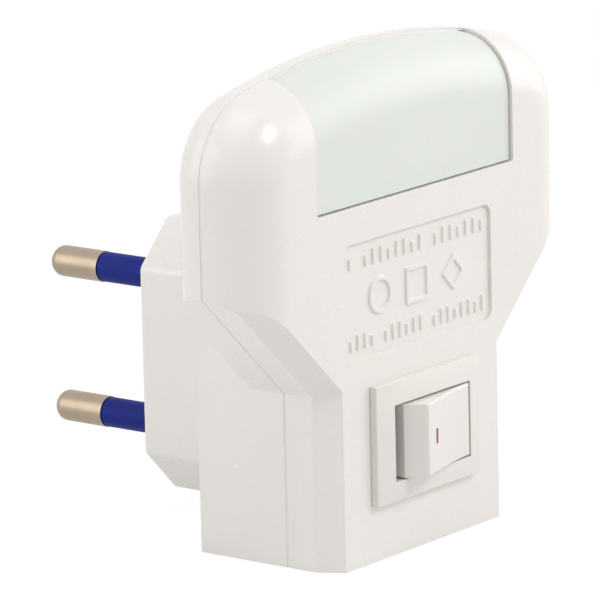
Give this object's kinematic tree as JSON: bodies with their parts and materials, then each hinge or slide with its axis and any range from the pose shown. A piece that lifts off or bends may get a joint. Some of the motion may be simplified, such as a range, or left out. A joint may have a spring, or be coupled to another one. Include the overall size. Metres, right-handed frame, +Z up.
{
  "type": "plug-in night light",
  "caption": "Plug-in night light: a pillow-shaped white casing with a frosted window over its top, a rocker switch on the stem and a two-pin plug behind.",
  "frame": {"origin": "middle of the plug face, midway between the two pins", "axes": "+Y runs along the pins from the light into the wall, +Z up, +X to the right seen from the front"},
  "size_m": [0.066, 0.0619, 0.0628],
  "materials": {
    "casing_white": "warm white moulded ABS, fine satin",
    "switch_white": "white moulded polycarbonate, semi-gloss",
    "lens_frosted": "frosted translucent polycarbonate",
    "sleeve_blue": "dark blue moulded nylon",
    "pin_metal": "nickel-plated turned brass",
    "carrier_grey": "grey moulded nylon",
    "contact_brass": "stamped brass strip",
    "spring_steel": "drawn spring steel",
    "plunger_nylon": "natural nylon",
    "screw_steel": "zinc-plated steel",
    "board_laminate": "paper laminate with copper tracks",
    "led_epoxy": "clear cast epoxy",
    "film_yellow": "yellow epoxy-filled case",
    "can_sleeve": "dark shrink sleeve on an aluminium can",
    "diode_black": "black moulded epoxy with tinned leads",
    "resistor_beige": "beige lacquer with tinned leads",
    "wire_brown": "brown insulation",
    "wire_black": "black insulation",
    "wire_blue": "blue insulation"
  },
  "bodies": {
    "casing": {"front_shell": "casing_white", "rear_cover": "casing_white", "diffuser_lens": "lens_frosted", "pin_upper": "pin_metal", "pin_lower": "pin_metal", "sleeve_upper": "sleeve_blue", "sleeve_lower": "sleeve_blue", "pin_carrier": "carrier_grey", "housing_screws": "screw_steel", "switch_frame": "switch_white", "terminal_common": "contact_brass", "terminal_on": "contact_brass", "circuit_board": "board_laminate", "leds": "led_epoxy", "dropper_capacitor": "film_yellow", "smoothing_capacitor": "can_sleeve", "rectifier_diodes": "diode_black", "surge_resistor": "resistor_beige", "bleed_resistor": "resistor_beige", "live_wire": "wire_brown", "switched_wire": "wire_black", "neutral_wire": "wire_blue"},
    "rocker": {"switch_rocker": "switch_white", "rocker_plunger": "plunger_nylon", "plunger_spring": "spring_steel"},
    "bridge": {"contact_bridge": "contact_brass"}
  },
  "joints": [
    {"name": "rocker_hinge", "type": "hinge", "parent": "casing", "child": "rocker", "pos_m": [0, -0.03415, -0.00515], "axis": [0, 0, -1], "range_deg": [0, 24]},
    {"name": "bridge_hinge", "type": "hinge", "parent": "casing", "child": "bridge", "pos_m": [0, -0.0295, -0.00515], "axis": [0, 0, 1], "range_deg": [0, 10]}
  ],
  "couplings": [
    {"joint": "bridge_hinge", "follows": "rocker_hinge", "ratio": 0.41667}
  ]
}
